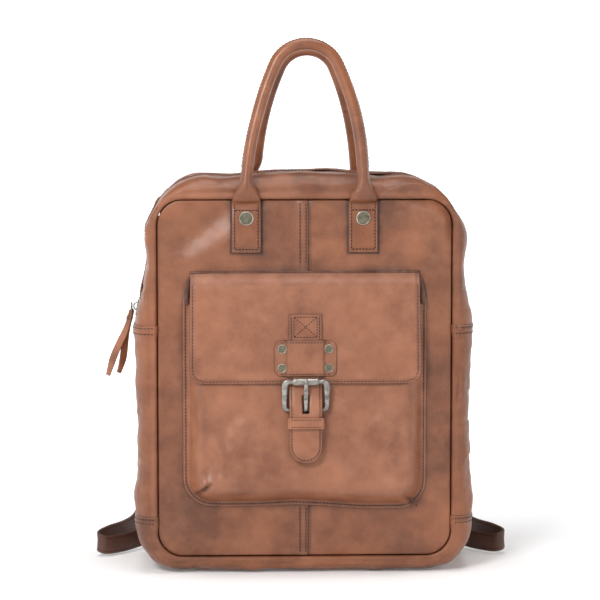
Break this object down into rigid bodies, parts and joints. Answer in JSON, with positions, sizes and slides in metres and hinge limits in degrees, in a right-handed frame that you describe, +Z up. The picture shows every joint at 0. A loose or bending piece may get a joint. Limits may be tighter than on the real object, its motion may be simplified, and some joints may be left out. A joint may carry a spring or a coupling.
{
  "type": "leather backpack",
  "caption": "Upright leather backpack with two grab handles, a buckled front flap pocket, a zip over the top and shoulder straps.",
  "frame": {"origin": "middle of the flat base, on the surface the bag stands on", "axes": "+Z up the bag, -Y out of the front pocket, +Y towards the wearer's back, +X to the right seen from the front"},
  "size_m": [0.3964, 0.2011, 0.5099],
  "materials": {
    "body_leather": "soft waxed, semi-matt",
    "trim_leather": "soft waxed, semi-matt",
    "handle_leather": "soft waxed, semi-matt",
    "edge_leather": "painted edge",
    "rope_core": "matt",
    "zip_fabric": "matt woven",
    "zip_metal": "aged",
    "rivet_metal": "aged",
    "buckle_metal": "aged pewter",
    "snap_metal": "satin",
    "lining_fabric": "matt woven",
    "board": "matt"
  },
  "bodies": {
    "root": {"front_panel_left": "body_leather", "front_panel_right": "body_leather", "back_panel": "body_leather", "bottom_gusset": "body_leather", "side_panel_left": "body_leather", "side_panel_right": "body_leather", "top_gusset_front": "body_leather", "top_gusset_back": "body_leather", "zip_tape_front": "zip_fabric", "zip_tape_back": "zip_fabric", "zip_chain": "zip_metal", "zip_stops": "zip_metal", "lining": "lining_fabric", "base_board": "board", "pocket_body": "body_leather", "snap_female": "snap_metal", "flap_seam_strip": "body_leather", "front_handle_tabs": "trim_leather", "front_tab_backings": "edge_leather", "front_handle_rivets": "rivet_metal", "rear_handle_tabs": "trim_leather", "rear_tab_backings": "edge_leather", "rear_handle_rivets": "rivet_metal", "strap_yoke": "trim_leather", "strap_anchor_left": "trim_leather", "strap_anchor_right": "trim_leather"},
    "flap": {"pocket_flap": "body_leather", "billet_strap": "trim_leather", "strap_patch": "trim_leather", "patch_rivets": "rivet_metal", "chape": "trim_leather", "keeper_loop": "trim_leather", "snap_male": "snap_metal"},
    "buckle": {"buckle_frame": "buckle_metal"},
    "roller": {"buckle_roller": "buckle_metal"},
    "prong": {"buckle_prong": "buckle_metal"},
    "slider": {"zip_slider": "zip_metal"},
    "link": {"zip_link": "zip_metal"},
    "pull": {"zip_pull": "trim_leather"},
    "front_handle": {"front_handle_cover": "handle_leather", "front_handle_core": "rope_core"},
    "rear_handle": {"rear_handle_cover": "handle_leather", "rear_handle_core": "rope_core"},
    "left_strap": {"shoulder_strap_left": "trim_leather", "lower_strap_left": "trim_leather"},
    "right_strap": {"shoulder_strap_right": "trim_leather", "lower_strap_right": "trim_leather"},
    "left_adjuster": {"strap_adjuster_left": "buckle_metal"},
    "right_adjuster": {"strap_adjuster_right": "buckle_metal"}
  },
  "joints": [
    {"name": "flap_hinge", "type": "hinge", "parent": "root", "child": "flap", "pos_m": [0, -0.0621, 0.284], "axis": [-1, 0, 0], "range_deg": [0, 105]},
    {"name": "buckle_tilt", "type": "hinge", "parent": "flap", "child": "buckle", "pos_m": [0, -0.08511, 0.15992], "axis": [1, 0, 0], "range_deg": [0, 12]},
    {"name": "roller_spin", "type": "hinge", "parent": "buckle", "child": "roller", "pos_m": [0, -0.08725, 0.18621], "axis": [1, 0, 0], "continuous": true},
    {"name": "prong_lift", "type": "hinge", "parent": "buckle", "child": "prong", "pos_m": [0, -0.08511, 0.15992], "axis": [1, 0, 0], "range_deg": [0, 15]},
    {"name": "zip_run", "type": "slide", "parent": "root", "child": "slider", "axis": [0.1927, 0, 0.9812], "range_m": [0, 0.03]},
    {"name": "link_swing", "type": "hinge", "parent": "slider", "child": "link", "pos_m": [-0.16536, 0, 0.25309], "axis": [0, 1, 0], "range_deg": [0, 90]},
    {"name": "pull_swing", "type": "hinge", "parent": "link", "child": "pull", "pos_m": [-0.16536, 0, 0.24509], "axis": [0, 1, 0], "range_deg": [0, 60]},
    {"name": "front_handle_fold", "type": "hinge", "parent": "root", "child": "front_handle", "pos_m": [0, -0.0682, 0.363], "axis": [1, 0, 0], "range_deg": [0, 90]},
    {"name": "rear_handle_fold", "type": "hinge", "parent": "root", "child": "rear_handle", "pos_m": [0, 0.0682, 0.363], "axis": [-1, 0, 0], "range_deg": [0, 90]},
    {"name": "left_strap_swing", "type": "hinge", "parent": "root", "child": "left_strap", "pos_m": [-0.024, 0.0685, 0.322], "axis": [0.3638, 0, 0.9315], "range_deg": [0, 15]},
    {"name": "right_strap_swing", "type": "hinge", "parent": "root", "child": "right_strap", "pos_m": [0.024, 0.0685, 0.322], "axis": [0.3638, 0, -0.9315], "range_deg": [0, 15]},
    {"name": "left_adjuster_slide", "type": "slide", "parent": "left_strap", "child": "left_adjuster", "axis": [-0.5658, -0.0514, -0.823], "range_m": [-0.015, 0.015]},
    {"name": "right_adjuster_slide", "type": "slide", "parent": "right_strap", "child": "right_adjuster", "axis": [0.5658, -0.0514, -0.823], "range_m": [-0.015, 0.015]}
  ]
}
